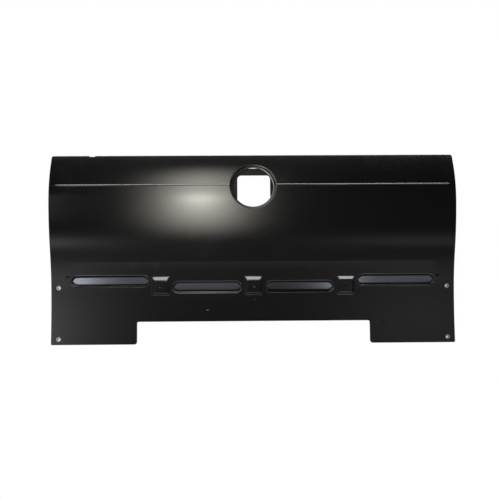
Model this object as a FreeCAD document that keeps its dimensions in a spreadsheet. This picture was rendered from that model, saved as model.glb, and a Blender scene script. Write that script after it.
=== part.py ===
"""Pickup tailgate shell: a pressed outer skin hemmed round a pressed inner panel, with the rails,
brackets, plates and captive nuts that such a shell carries.

Millimetres. +X is along the tailgate, +Y points into the load bed and +Z is up. The origin is the middle
of the hinge seat, the flat underside of the inner panel that the hinge leaves bolt to.
"""

import FreeCAD, Part
import Sketcher
import os
from math import asin, atan2, cos, degrees, pi, radians, sin, sqrt, tan

os.makedirs("parts", exist_ok=True)
Vector = FreeCAD.Vector
Rotation = FreeCAD.Rotation
doc = FreeCAD.newDocument("Tailgate")
sheet = doc.addObject("Spreadsheet::Sheet", "Sizes")

# Driving dimensions, each with its alias in the sheet.
DIMENSIONS = [
    # Outline seen from the front
    ("panel_width", 1430.0),
    ("top_height", 578.0),
    ("hem_drop", 14.0),
    ("leg_drop", 79.0),
    ("notch_half_width", 412.0),
    ("top_corner_radius", 8.0),
    ("leg_outer_radius", 5.0),
    ("leg_inner_radius", 10.0),
    ("notch_radius", 6.0),
    # Sheet gauges and seams
    ("skin_gauge", 1.2),
    ("inner_gauge", 1.2),
    ("seam_gap", 0.2),
    ("seam_reach", 15.0),
    ("fit_clearance", 0.3),
    ("hem_width", 11.0),
    # Side view: crown above the bulge, belly below it, then waist and skirt
    ("bulge_height", 402.0),
    ("bulge_depth", 70.0),
    ("crown_radius", 260.0),
    ("belly_radius", 650.0),
    ("belly_turn", 15.0),
    ("waist_radius", 548.0),
    ("skirt_radius", 1290.0),
    ("top_bend_radius", 6.0),
    ("rear_lip_height", 14.0),
    # Handle aperture
    ("aperture_radius", 81.0),
    ("aperture_height", 465.0),
    ("aperture_tilt", 14.0),
    ("collar_draft", 8.0),
    ("collar_depth", 22.0),
    ("collar_roll", 3.5),
    ("seat_radius", 72.0),
    ("aperture_lead", 30.0),
    # Feature line either side of the aperture
    ("ridge_height", 467.5),
    ("ridge_start", 85.0),
    ("ridge_inset", 22.0),
    ("ridge_radius", 6.2),
    ("ridge_rise", 2.4),
    ("ridge_taper", 34.0),
    # Raised fixing pads
    ("pad_pitch", 328.0),
    ("pad_level", 112.0),
    ("pad_base_width", 60.0),
    ("pad_base_height", 66.0),
    ("pad_face_width", 45.0),
    ("pad_face_height", 46.0),
    ("pad_rise", 12.0),
    ("pad_hole_radius", 4.5),
    # Recessed stiffening beads
    ("bead_height", 42.0),
    ("bead_draft", 20.0),
    ("bead_shallow", 2.5),
    ("bead_deep", 15.5),
    ("bead_roll", 2.5),
    ("outer_bead_centre", 507.0),
    ("outer_bead_length", 274.0),
    ("outer_bead_level", 131.5),
    ("inner_bead_centre", 164.0),
    ("inner_bead_length", 242.0),
    ("inner_bead_level", 110.0),
    # Clip holes in the skin
    ("clip_hole_radius", 3.6),
    ("side_clip_inset", 60.0),
    ("side_clip_level", 146.5),
    ("leg_clip_margin", 48.0),
    ("leg_clip_level", -22.5),
    ("middle_clip_offset", 163.5),
    ("middle_clip_level", 31.0),
    ("centre_clip_level", 66.0),
    # Relief notch in the top bend
    ("relief_inset", 141.5),
    ("relief_width", 25.0),
    ("relief_drop", 4.5),
    # Inner panel
    ("bed_face", 34.0),
    ("side_flange", 45.0),
    ("pan_corner_radius", 14.0),
    ("pan_edge_radius", 9.0),
    ("pan_top_gap", 7.0),
    ("rib_rise", 5.0),
    ("rib_width", 58.0),
    ("rib_draft_run", 6.0),
    ("rib_low", 72.0),
    ("rib_high", 505.0),
    ("rib_first", 230.0),
    ("rib_pitch", 170.0),
    ("cross_rib_length", 300.0),
    ("cross_rib_low", 100.0),
    ("cross_rib_pitch", 100.0),
    ("access_width", 330.0),
    ("access_height", 200.0),
    ("access_level", 440.0),
    ("access_radius", 22.0),
    ("drain_radius", 5.0),
    ("drain_offset", 330.0),
    # Handle bracket
    ("bracket_width", 236.0),
    ("bracket_low", -84.0),
    ("bracket_high", 72.0),
    ("bracket_face", 28.0),
    ("bracket_gauge", 1.5),
    ("bracket_flange", 21.0),
    ("bracket_window_width", 116.0),
    ("bracket_window_shift", 3.0),
    ("bracket_window_high", 46.0),
    ("bracket_window_low", -72.0),
    ("bracket_window_radius", 14.0),
    # Rails and channels, 2 mm steel
    ("rail_gauge", 2.0),
    ("rail_end_gap", 20.0),
    ("top_rail_reach", 26.0),
    ("top_rail_drop", 34.0),
    ("bottom_rail_reach", 52.0),
    ("bottom_rail_rise", 48.0),
    ("channel_low", 60.0),
    ("channel_high", 528.0),
    ("channel_web", 46.0),
    ("channel_leg", 34.0),
    # Hat stiffeners behind the bed face
    ("hat_offset", 315.0),
    ("hat_width", 80.0),
    ("hat_crown", 46.0),
    ("hat_depth", 30.0),
    ("hat_draft_run", 4.0),
    ("hat_low", 60.0),
    ("hat_high", 528.0),
    # Latch and check-strap plates on the side channels
    ("plate_gauge", 3.0),
    ("latch_level", 430.0),
    ("latch_height", 120.0),
    ("latch_width", 36.0),
    ("latch_slot_height", 56.0),
    ("latch_slot_width", 22.0),
    ("latch_bolt_pitch", 92.0),
    ("plate_bolt_radius", 4.25),
    ("strap_level", 250.0),
    ("strap_height", 90.0),
    ("strap_bolt_pitch", 60.0),
    ("side_plate_depth", 5.0),
    # Hinge seat and its backing plates
    ("hinge_inset", 90.0),
    ("hinge_bolt_row", 22.0),
    ("hinge_bolt_radius", 5.5),
    ("hinge_plate_length", 110.0),
    ("hinge_plate_width", 38.0),
    ("hinge_plate_gauge", 6.0),
    ("hinge_thread_radius", 4.25),
    # Leg doublers
    ("doubler_margin", 28.0),
    ("doubler_inset", 43.0),
    ("doubler_low", -76.0),
    ("doubler_high", -12.0),
    # Rivet nuts near the lower corners
    ("rivet_inset", 27.0),
    ("rivet_high", 107.0),
    ("rivet_low", -73.5),
    ("rivet_flange_radius", 8.0),
    ("rivet_flange_gauge", 1.5),
    ("rivet_barrel_radius", 5.4),
    ("rivet_barrel_length", 17.0),
    ("rivet_bulb_radius", 7.4),
    ("rivet_bulb_length", 5.0),
    ("rivet_bore_radius", 3.35),
    ("rivet_grip_radius", 4.2),
    ("rivet_grip_depth", 7.6),
    # Square weld nuts behind the pads
    ("nut_width", 14.0),
    ("nut_height", 6.5),
    ("nut_bore_radius", 3.35),
]

for row, (alias, value) in enumerate(DIMENSIONS, start=1):
    sheet.set(f"A{row}", alias)
    sheet.set(f"B{row}", repr(value))
    sheet.setAlias(f"B{row}", alias)
doc.recompute()


class Size:
    """A length with the expression that gives it: drawn at the number, then bound to the sheet."""

    def __init__(self, value, text):
        self.value = value
        self.text = text

    def joined(self, other, sign, value):
        return Size(value, f"({self.text} {sign} {other.text})")

    def __add__(self, other):
        other = as_size(other)
        return self.joined(other, "+", self.value + other.value)

    def __radd__(self, other):
        return as_size(other) + self

    def __sub__(self, other):
        other = as_size(other)
        return self.joined(other, "-", self.value - other.value)

    def __rsub__(self, other):
        return as_size(other) - self

    def __mul__(self, other):
        other = as_size(other)
        return self.joined(other, "*", self.value * other.value)

    def __rmul__(self, other):
        return as_size(other) * self

    def __truediv__(self, other):
        other = as_size(other)
        return self.joined(other, "/", self.value / other.value)

    def __neg__(self):
        return as_size(0.0) - self


def as_size(number):
    """A plain number as a Size, or a Size as it is."""
    return number if isinstance(number, Size) else Size(float(number), repr(float(number)))


def size(alias):
    """The sheet's cell with this alias."""
    return Size(float(sheet.get(alias)), f"Sizes.{alias}")


# Values that several pieces share.
half_width = size("panel_width") / 2
top = size("top_height")
centre_edge = -size("hem_drop")
leg_edge = centre_edge - size("leg_drop")
notch = size("notch_half_width")
skin = size("skin_gauge")
inner = size("inner_gauge")
gap = size("seam_gap")
flange_face = skin + gap
flange_back = flange_face + inner
hem_back = flange_back + gap + skin
bed = size("bed_face")
bed_inside = bed - inner
pan_half = half_width - size("side_flange")
rail = size("rail_gauge")
far = size("panel_width")
clearance = size("fit_clearance")

# Places measured from the gate's edges, so that they keep to them.
ridge_end = half_width - size("ridge_inset")
side_clip = half_width - size("side_clip_inset")
leg_clip = notch + size("leg_clip_margin")
relief_centre = half_width - size("relief_inset")
rail_end = pan_half - size("rail_end_gap")
hinge_place = rail_end - size("hinge_inset")
doubler_inner = notch + size("doubler_margin")
doubler_outer = half_width - size("doubler_inset")
rivet_place = half_width - size("rivet_inset")


def own_plane(body, role):
    """One of a body's three origin planes."""
    return [feature for feature in body.Origin.OriginFeatures if feature.Role == role][0]


def bind(sketch, kind, where, target):
    """A driven distance or radius of a sketch, bound to the sheet."""
    index = sketch.addConstraint(Sketcher.Constraint(kind, *where, target.value))
    sketch.setExpression(f"Constraints[{index}]", target.text)


def pin(sketch, element, vertex, x, y):
    """Hold one vertex of a sketch element at bound coordinates."""
    bind(sketch, "DistanceX", (-1, 1, element, vertex), x)
    bind(sketch, "DistanceY", (-1, 1, element, vertex), y)


def new_sketch(body, role, name, level=None):
    """An empty sketch on a plane of a body's origin, shifted along its normal."""
    sketch = body.newObject("Sketcher::SketchObject", name)
    sketch.AttachmentSupport = [(own_plane(body, role), "")]
    sketch.MapMode = "FlatFace"
    if level is not None:
        sketch.AttachmentOffset = FreeCAD.Placement(Vector(0, 0, level.value), Rotation())
        sketch.setExpression("AttachmentOffset.Base.z", level.text)
    return sketch


def draw_loop(sketch, corners):
    """A closed loop of straight lines with every corner pinned."""
    first = sketch.GeometryCount
    count = len(corners)
    points = [Vector(as_size(x).value, as_size(y).value, 0) for x, y in corners]
    for index in range(count):
        sketch.addGeometry(Part.LineSegment(points[index], points[(index + 1) % count]), False)
    for index in range(count):
        following = first + (index + 1) % count
        sketch.addConstraint(Sketcher.Constraint("Coincident", first + index, 2, following, 1))
        pin(sketch, first + index, 1, as_size(corners[index][0]), as_size(corners[index][1]))


def draw_box(sketch, left, right, low, high):
    """A rectangle by its four sides."""
    draw_loop(sketch, [(left, low), (right, low), (right, high), (left, high)])


def draw_circle(sketch, x, y, radius):
    """A circle with a pinned centre."""
    index = sketch.GeometryCount
    centre = Vector(as_size(x).value, as_size(y).value, 0)
    sketch.addGeometry(Part.Circle(centre, Vector(0, 0, 1), radius.value), False)
    pin(sketch, index, 3, as_size(x), as_size(y))
    bind(sketch, "Radius", (index,), radius)


def draw_stadium(sketch, x, y, length, height):
    """A slot with round ends: two lines and two half circles."""
    first = sketch.GeometryCount
    radius = height / 2
    reach = (length - height) / 2
    left = Vector((x - reach).value, y.value, 0)
    right = Vector((x + reach).value, y.value, 0)
    up = Vector(0, radius.value, 0)
    normal = Vector(0, 0, 1)
    sketch.addGeometry(Part.ArcOfCircle(Part.Circle(right, normal, radius.value), -pi / 2, pi / 2), False)
    sketch.addGeometry(Part.LineSegment(right + up, left + up), False)
    sketch.addGeometry(Part.ArcOfCircle(Part.Circle(left, normal, radius.value), pi / 2, 3 * pi / 2), False)
    sketch.addGeometry(Part.LineSegment(left - up, right - up), False)
    for index in range(4):
        following = first + (index + 1) % 4
        sketch.addConstraint(Sketcher.Constraint("Tangent", first + index, 2, following, 1))
    pin(sketch, first, 3, x + reach, y)
    bind(sketch, "DistanceX", (-1, 1, first + 2, 3), x - reach)
    bind(sketch, "Radius", (first,), radius)


def new_body(label):
    """An empty body with its label."""
    body = doc.addObject("PartDesign::Body", label)
    body.Label = label
    return body


def pad(body, sketch, length, both_ways=False, back=False, draft=None):
    """Extrude a sketch: away from its plane, both ways or backwards, with a draft if one is given."""
    feature = body.newObject("PartDesign::Pad", sketch.Name + "Pad")
    feature.Profile = sketch
    feature.Midplane = both_ways
    feature.Reversed = back
    feature.Length = length.value
    feature.setExpression("Length", length.text)
    if draft is not None:
        feature.TaperAngle = -draft.value
        feature.setExpression("TaperAngle", f"-{draft.text}")
    body.Tip = feature
    return feature


def pocket(body, sketch, length=None, both_ways=True, back=False):
    """Cut a sketch through all of a body, or to a length."""
    feature = body.newObject("PartDesign::Pocket", sketch.Name + "Pocket")
    feature.Profile = sketch
    feature.Midplane = both_ways
    feature.Reversed = back
    if length is None:
        feature.Type = 1
    else:
        feature.Length = length.value
        feature.setExpression("Length", length.text)
    body.Tip = feature
    return feature


def round_edges(body, radius, chosen):
    """Fillet the edges of the body's last feature that a test picks by their middle point and direction."""
    base = body.Tip
    doc.recompute()
    names = []
    for index, edge in enumerate(base.Shape.Edges, start=1):
        middle = edge.valueAt((edge.FirstParameter + edge.LastParameter) / 2)
        along = edge.tangentAt(edge.FirstParameter)
        if chosen(middle, along):
            names.append(f"Edge{index}")
    feature = body.newObject("PartDesign::Fillet", f"{body.Name}Round{len(body.Group)}")
    feature.Base = (base, names)
    feature.Radius = radius.value
    feature.setExpression("Radius", radius.text)
    body.Tip = feature
    return feature


def fuse(name, shapes):
    """The union of several objects."""
    feature = doc.addObject("Part::MultiFuse", name)
    feature.Shapes = shapes
    return feature


def common(name, shapes):
    """What several objects share."""
    feature = doc.addObject("Part::MultiCommon", name)
    feature.Shapes = shapes
    return feature


def cut(name, base, tools):
    """One object less the others."""
    feature = doc.addObject("Part::Cut", name)
    feature.Base = base
    feature.Tool = tools[0] if len(tools) == 1 else fuse(name + "Tools", tools)
    return feature


def box_body(name, left, right, front, back, low, high):
    """A plain block by its six sides, used as a form or a limit."""
    body = new_body(name)
    sketch = new_sketch(body, "XZ_Plane", name + "Face", -as_size(back))
    draw_box(sketch, left, right, low, high)
    pad(body, sketch, as_size(back) - as_size(front))
    return body


# Side view of the gate as a solid block whose front is the outer surface, or a surface behind it.
turn_down = radians(size("belly_turn").value)
belly_turn_sine = Size(sin(turn_down), f"sin({size('belly_turn').text} * 1 deg)")
side_low = leg_edge - size("leg_drop")


def side_block(name, inset):
    """A block with the gate's side view, its front, top and back faces moved in by an inset."""
    skirt = size("skirt_radius") + inset
    waist = size("waist_radius") + inset
    belly = size("belly_radius") - inset
    crown = size("crown_radius") - inset
    bend = size("top_bend_radius") - inset
    bulge = (-size("bulge_depth"), size("bulge_height"))
    belly_centre = (bulge[0] + size("belly_radius"), bulge[1])
    crown_centre = (bulge[0] + size("crown_radius"), bulge[1])
    waist_sink = (size("belly_radius") + size("waist_radius")) * belly_turn_sine
    waist_centre = (
        belly_centre[0].value - (belly.value + waist.value) * cos(turn_down),
        belly_centre[1].value - waist_sink.value,
    )
    skirt_centre = (waist_centre[0] + waist.value - skirt.value, waist_centre[1])
    ceiling = top - inset
    bend_up = (ceiling - bend - bulge[1]).value
    bend_centre = (
        crown_centre[0].value - sqrt((crown.value - bend.value) ** 2 - bend_up**2),
        (ceiling - bend).value,
    )
    back = bed + flange_face - inset
    start = asin((side_low.value - skirt_centre[1]) / skirt.value)
    lean = atan2(bend_centre[1] - crown_centre[1].value, bend_centre[0] - crown_centre[0].value)
    body = new_body(name)
    sketch = new_sketch(body, "YZ_Plane", name + "Side")
    arcs = [
        (skirt_centre, skirt, start, 0.0),
        (waist_centre, waist, 0.0, turn_down),
        ((belly_centre[0].value, belly_centre[1].value), belly, pi, pi + turn_down),
        ((crown_centre[0].value, crown_centre[1].value), crown, lean, pi),
        (bend_centre, bend, pi / 2, lean),
    ]
    for centre, radius, from_angle, to_angle in arcs:
        circle = Part.Circle(Vector(*centre, 0), Vector(0, 0, 1), radius.value)
        sketch.addGeometry(Part.ArcOfCircle(circle, from_angle, to_angle), False)
    foot = Vector(skirt_centre[0] + skirt.value * cos(start), side_low.value, 0)
    points = [
        Vector(bend_centre[0], ceiling.value, 0),
        Vector(back.value, ceiling.value, 0),
        Vector(back.value, side_low.value, 0),
        foot,
    ]
    for index in range(3):
        sketch.addGeometry(Part.LineSegment(points[index], points[index + 1]), False)
    for near, near_end, next_one, next_end in ((0, 2, 1, 1), (1, 2, 2, 2), (2, 1, 3, 2), (3, 1, 4, 2), (4, 1, 5, 1)):
        sketch.addConstraint(Sketcher.Constraint("Tangent", near, near_end, next_one, next_end))
    for near, near_end, next_one, next_end in ((5, 2, 6, 1), (6, 2, 7, 1), (7, 2, 0, 1)):
        sketch.addConstraint(Sketcher.Constraint("Coincident", near, near_end, next_one, next_end))
    sketch.addConstraint(Sketcher.Constraint("Horizontal", 5))
    sketch.addConstraint(Sketcher.Constraint("Vertical", 6))
    sketch.addConstraint(Sketcher.Constraint("Horizontal", 7))
    sketch.addConstraint(Sketcher.Constraint("Horizontal", 0, 3, 1, 3))
    for index, (centre, radius, from_angle, to_angle) in enumerate(arcs):
        bind(sketch, "Radius", (index,), radius)
    pin(sketch, 2, 3, *belly_centre)
    bind(sketch, "DistanceY", (-1, 1, 3, 3), crown_centre[1])
    bind(sketch, "DistanceY", (1, 3, 2, 3), waist_sink)
    pin(sketch, 5, 2, back, ceiling)
    bind(sketch, "DistanceY", (-1, 1, 7, 1), side_low)
    pad(body, sketch, far, both_ways=True)
    return body


def skin_depth(height, inset=0.0):
    """The skin's Y at a height: on its outer surface, or on a surface behind it."""
    bulge_y = -size("bulge_depth").value
    bulge_z = size("bulge_height").value
    belly_r = size("belly_radius").value
    waist_r = size("waist_radius").value
    waist_z = bulge_z - (belly_r + waist_r) * sin(turn_down)
    waist_y = bulge_y + belly_r - (belly_r + waist_r) * cos(turn_down) + waist_r
    if height > bulge_z:
        reach = size("crown_radius").value
        return bulge_y + reach - sqrt((reach - inset) ** 2 - (height - bulge_z) ** 2)
    if height > bulge_z - belly_r * sin(turn_down):
        return bulge_y + belly_r - sqrt((belly_r - inset) ** 2 - (height - bulge_z) ** 2)
    reach = waist_r if height > waist_z else size("skirt_radius").value
    return waist_y - reach + sqrt((reach + inset) ** 2 - (height - waist_z) ** 2)


# Outline seen from the front.
def outline_block(name, inset, ceiling, rounded=True):
    """The front outline moved in by an inset, as a block through the whole depth."""
    outer = half_width - inset
    middle = notch + inset
    body = new_body(name)
    sketch = new_sketch(body, "XZ_Plane", name + "Front")
    low = leg_edge + inset
    shelf = centre_edge + inset
    draw_loop(
        sketch,
        [
            (-outer, low),
            (-middle, low),
            (-middle, shelf),
            (middle, shelf),
            (middle, low),
            (outer, low),
            (outer, ceiling),
            (-outer, ceiling),
        ],
    )
    pad(body, sketch, far, both_ways=True)
    if rounded:
        def along_depth(line):
            return abs(line.y) > 0.9

        round_edges(
            body,
            size("leg_outer_radius") - inset,
            lambda at, line: along_depth(line) and abs(at.z - low.value) < 1 and abs(at.x) > middle.value + 9,
        )
        round_edges(
            body,
            size("leg_inner_radius") - inset,
            lambda at, line: along_depth(line) and abs(at.z - low.value) < 1 and abs(at.x) < middle.value + 9,
        )
        round_edges(
            body,
            size("notch_radius") + inset,
            lambda at, line: along_depth(line) and abs(at.z - shelf.value) < 1,
        )
        if ceiling.value == top.value:
            round_edges(
                body,
                size("top_corner_radius"),
                lambda at, line: along_depth(line) and abs(at.z - ceiling.value) < 1,
            )
    return body


def level_face(height, inset):
    """The skin's depth at a height as a sheet length."""
    return skin_depth(height.value, as_size(inset).value)


# Blocks whose fronts are the sheet surfaces one behind another.
skin_front = side_block("skin_front", Size(0.0, "0"))
skin_rear = side_block("skin_rear", skin)
flange_front = side_block("flange_front", flange_face)
flange_rear = side_block("flange_rear", flange_back)
flap_front = side_block("flap_front", flange_back + gap)
flap_rear = side_block("flap_rear", hem_back)

beyond = top + size("rear_lip_height")
outline = outline_block("outline", Size(0.0, "0"), top)
hem_inside = outline_block("hem_inside", skin, beyond)
flap_inside = outline_block("flap_inside", size("hem_width"), beyond, rounded=False)
flange_outline = outline_block("flange_outline", skin + gap, beyond)


# Aperture: a drafted hole square to the crown, with the collar that is drawn inwards round it.
aperture_at = Vector(0, skin_depth(size("aperture_height").value), size("aperture_height").value)


def aperture_cone(name, grow, start, length):
    """A cone along the aperture's axis, narrowing inwards."""
    cone = doc.addObject("Part::Cone", name)
    slope = tan(radians(size("collar_draft").value))
    slope_text = f"tan({size('collar_draft').text} * 1 deg)"
    cone.Radius1 = size("aperture_radius").value + grow.value - start.value * slope
    cone.setExpression("Radius1", f"Sizes.aperture_radius + {grow.text} - {start.text} * {slope_text}")
    cone.Radius2 = size("aperture_radius").value + grow.value - (start.value + length.value) * slope
    cone.setExpression(
        "Radius2", f"Sizes.aperture_radius + {grow.text} - ({start.text} + {length.text}) * {slope_text}"
    )
    cone.Height = length.value
    cone.setExpression("Height", length.text)
    turned = Rotation(Vector(1, 0, 0), -90 - size("aperture_tilt").value)
    inwards = turned.multVec(Vector(0, 0, 1))
    cone.Placement = FreeCAD.Placement(aperture_at + inwards * start.value, turned)
    return cone


def aperture_bore(name, radius, length):
    """A round hole along the aperture's axis, from its plane inwards."""
    bore = doc.addObject("Part::Cylinder", name)
    bore.Radius = radius.value
    bore.setExpression("Radius", radius.text)
    bore.Height = length.value
    bore.setExpression("Height", length.text)
    bore.Placement = FreeCAD.Placement(aperture_at, Rotation(Vector(1, 0, 0), -90 - size("aperture_tilt").value))
    return bore


# The same frame for pieces square to the aperture: local +Y runs inwards along its axis.
aperture_frame = FreeCAD.Placement(aperture_at, Rotation(Vector(1, 0, 0), -size("aperture_tilt").value))


def rim_round(name, base, radius):
    """Roll the aperture's front rim."""
    doc.recompute()
    chosen = []
    for index, edge in enumerate(base.Shape.Edges, start=1):
        local = [aperture_frame.inverse().multVec(vertex.Point) for vertex in edge.Vertexes]
        middle = aperture_frame.inverse().multVec(edge.valueAt((edge.FirstParameter + edge.LastParameter) / 2))
        near = size("aperture_radius").value + 6 > sqrt(middle.x**2 + middle.z**2) > 60
        if near and abs(middle.y) < 16 and edge.Curve.TypeId != "Part::GeomLine" and len(local) < 3:
            chosen.append((index, radius.value, radius.value))
    feature = doc.addObject("Part::Fillet", name)
    feature.Base = base
    feature.Edges = chosen
    return feature


# Ridge rods: the feature line is the cap of a rod that stands out of the crown by its rise.
ridge_turn = asin((size("ridge_height").value - size("bulge_height").value) / size("crown_radius").value)
ridge_sink = size("ridge_radius").value - size("ridge_rise").value


def ridge_rod(name, side, inset):
    """One side's rod, turned in one piece: a blunt end at the aperture and a long taper at the panel's edge."""
    radius = size("ridge_radius") - inset
    tail = size("ridge_radius") - size("ridge_rise") * 1.1 - inset
    blunt = size("ridge_rise") * 4
    start = size("ridge_start")
    end = ridge_end
    centre_y = skin_depth(size("ridge_height").value) + ridge_sink * cos(ridge_turn)
    centre_z = size("ridge_height").value - ridge_sink * sin(ridge_turn)
    body = new_body(name)
    sketch = new_sketch(body, "XY_Plane", name + "_profile")
    draw_loop(
        sketch,
        [
            (start * side, 0.0),
            (start * side, tail),
            ((start + blunt) * side, radius),
            ((end - size("ridge_taper")) * side, radius),
            (end * side, tail),
            (end * side, 0.0),
        ],
    )
    feature = body.newObject("PartDesign::Revolution", name + "_turned")
    feature.Profile = sketch
    feature.ReferenceAxis = (sketch, ["H_Axis"])
    feature.Angle = 360
    body.Tip = feature
    body.Placement = FreeCAD.Placement(Vector(0, centre_y, centre_z), Rotation())
    return body


# Raised pads: blunt pyramids that stand out of the waist.
pad_root = level_face(size("pad_level"), 0)
pad_front = pad_root - size("pad_rise").value


def pad_wedge(name, centre, inset):
    """One pad as a wedge, its faces moved in by an inset."""
    rise = size("pad_rise").value
    deep = 3.0
    wedge = doc.addObject("Part::Wedge", name)
    front = pad_front + inset.value
    spans = {}
    for axis, face, base in (("X", "pad_face_width", "pad_base_width"), ("Z", "pad_face_height", "pad_base_height")):
        slope = (size(base).value - size(face).value) / 2 / rise
        shrink = inset.value * sqrt(1 + slope**2)
        small = size(face).value / 2 + slope * inset.value - shrink
        large = size(base).value / 2 + slope * deep - shrink
        spans[axis] = (small, large)
    level = size("pad_level").value
    wedge.Xmin, wedge.Xmax = centre - spans["X"][0], centre + spans["X"][0]
    wedge.Zmin, wedge.Zmax = level - spans["Z"][0], level + spans["Z"][0]
    wedge.X2min, wedge.X2max = centre - spans["X"][1], centre + spans["X"][1]
    wedge.Z2min, wedge.Z2max = level - spans["Z"][1], level + spans["Z"][1]
    wedge.Ymin, wedge.Ymax = front, pad_root + deep
    return wedge


# Recessed beads: drafted stadiums with a floor that is deepest along its lower side.
bead_lead = 3.0
draft_slope = tan(radians(size("bead_draft").value))
draft_text = f"tan({size('bead_draft').text} * 1 deg)"


def bead_tool(name, centre, length, level, inset):
    """The hollow of one bead, grown by an inset on its wall and its floor."""
    root = Size(skin_depth(level.value), repr(skin_depth(level.value)))
    lead = as_size(bead_lead)
    slope = Size(draft_slope, draft_text)
    spread = lead * slope * 2 + inset * 2
    body = new_body(name)
    sketch = new_sketch(body, "XZ_Plane", name + "Rim", lead - root)
    draw_stadium(sketch, centre, level, length + spread, size("bead_height") + spread)
    pad(body, sketch, lead + size("bead_deep") + inset * 2, back=True, draft=size("bead_draft"))
    reach = size("bead_height") / 2
    low_rim = skin_depth((level - reach).value)
    high_rim = skin_depth((level + reach).value)
    low = Size(low_rim, repr(low_rim)) + size("bead_deep") + inset
    high = Size(high_rim, repr(high_rim)) + size("bead_shallow") + inset
    lean = (high - low) / 4
    floor = new_sketch(body, "YZ_Plane", name + "Floor")
    behind = root + size("bead_deep") * 4
    draw_loop(
        floor,
        [
            (low - lean, level - reach * 1.5),
            (behind, level - reach * 1.5),
            (behind, level + reach * 1.5),
            (high + lean, level + reach * 1.5),
        ],
    )
    pocket(body, floor)
    edge_limit = root.value + 0.2
    round_edges(
        body,
        size("bead_roll") + inset,
        lambda at, line: at.y > edge_limit and abs(line.y) < 0.8,
    )
    return body


sides = (("left", -1.0), ("right", 1.0))
front_adds = []
rear_adds = []
front_tools = []
rear_tools = []
nothing = Size(0.0, "0")
for word, side in sides:
    front_adds.append(ridge_rod(f"{word}_ridge_front", side, nothing))
    rear_adds.append(ridge_rod(f"{word}_ridge_rear", side, skin))
    for place, centre, length, level in (
        ("outer", size("outer_bead_centre"), size("outer_bead_length"), size("outer_bead_level")),
        ("inner", size("inner_bead_centre"), size("inner_bead_length"), size("inner_bead_level")),
    ):
        front_tools.append(bead_tool(f"{word}_{place}_bead_front", centre * side, length, level, nothing))
        rear_tools.append(bead_tool(f"{word}_{place}_bead_rear", centre * side, length, level, skin))
pad_centres = (("left", -size("pad_pitch").value), ("middle", 0.0), ("right", size("pad_pitch").value))
for word, centre in pad_centres:
    front_adds.append(pad_wedge(f"{word}_pad_front", centre, nothing))
    rear_adds.append(pad_wedge(f"{word}_pad_rear", centre, skin))

lead_in = -size("aperture_lead")
seat_depth = size("collar_depth") - skin
collar_hollow = aperture_cone("collar_hollow", nothing, lead_in, seat_depth - lead_in)
hole_front = fuse("hole_front", [collar_hollow, aperture_bore("seat_bore", size("seat_radius"), far / 2)])
hole_rear = aperture_cone("hole_rear", skin, lead_in, size("collar_depth") - lead_in)
holed_front = rim_round("holed_front", cut("front_cut", skin_front, [hole_front]), size("collar_roll"))
holed_rear = rim_round("holed_rear", cut("rear_cut", skin_rear, [hole_rear]), size("collar_roll") - skin)
pressed_front = cut("pressed_front", fuse("raised_front", [holed_front] + front_adds), front_tools)
pressed_rear = cut("pressed_rear", fuse("raised_rear", [holed_rear] + rear_adds), rear_tools)

hem_top = top - size("rear_lip_height") - 4
seam_zone = box_body("seam_zone", -far, far, -far, size("seam_reach"), side_low - 1, hem_top)
behind_face = box_body("behind_face", -far, far, nothing, far, side_low - 1, top - size("rear_lip_height"))
skin_sheet = cut("skin_sheet", pressed_front, [pressed_rear])
skin_face = cut("skin_face", common("skin_trimmed", [skin_sheet, outline]), [behind_face])
hem_fold = common(
    "hem_fold", [cut("hem_stack", skin_front, [flap_rear]), cut("hem_ring", outline, [hem_inside]), seam_zone]
)
hem_flap = common(
    "hem_flap", [cut("flap_stack", flap_front, [flap_rear]), cut("flap_ring", outline, [flap_inside]), seam_zone]
)


def round_hole(name, x, z, radius, reach):
    """A round tool along the depth, from well in front of the skin to a plane behind it."""
    tool = doc.addObject("Part::Cylinder", name)
    tool.Radius = radius.value
    tool.setExpression("Radius", radius.text)
    tool.Height = (far + reach).value
    tool.setExpression("Height", (far + reach).text)
    tool.Placement = FreeCAD.Placement(Vector(x, -far.value, z), Rotation(Vector(1, 0, 0), -90))
    return tool


def surface_lean(height):
    """How far the skin's normal leans down at a height on the skirt, in degrees."""
    waist_z = size("bulge_height").value - (size("belly_radius").value + size("waist_radius").value) * sin(turn_down)
    radius = size("skirt_radius").value if height < waist_z else size("waist_radius").value
    return degrees(asin((height - waist_z) / radius))


rivet_places = []
for word, side in sides:
    for level_word, alias in (("upper", "rivet_high"), ("lower", "rivet_low")):
        height = size(alias).value
        seat = Vector(side * rivet_place.value, skin_depth(height), height)
        turn = Rotation(Vector(1, 0, 0), surface_lean(height))
        rivet_places.append((f"{word}_{level_word}_rivet_nut", FreeCAD.Placement(seat, turn)))


def rivet_hole(name, place):
    """The hole that a rivet nut's barrel fills, square to the skin."""
    tool = doc.addObject("Part::Cylinder", name)
    tool.Radius = size("rivet_barrel_radius").value
    tool.setExpression("Radius", f"Sizes.rivet_barrel_radius + {clearance.text} / 2")
    reach = size("rivet_barrel_length")
    tool.Height = reach.value * 3
    tool.setExpression("Height", f"{reach.text} * 3")
    outwards = place.Rotation.multVec(Vector(0, -reach.value, 0))
    tool.Placement = FreeCAD.Placement(place.Base + outwards, place.Rotation * Rotation(Vector(1, 0, 0), -90))
    return tool


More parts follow.
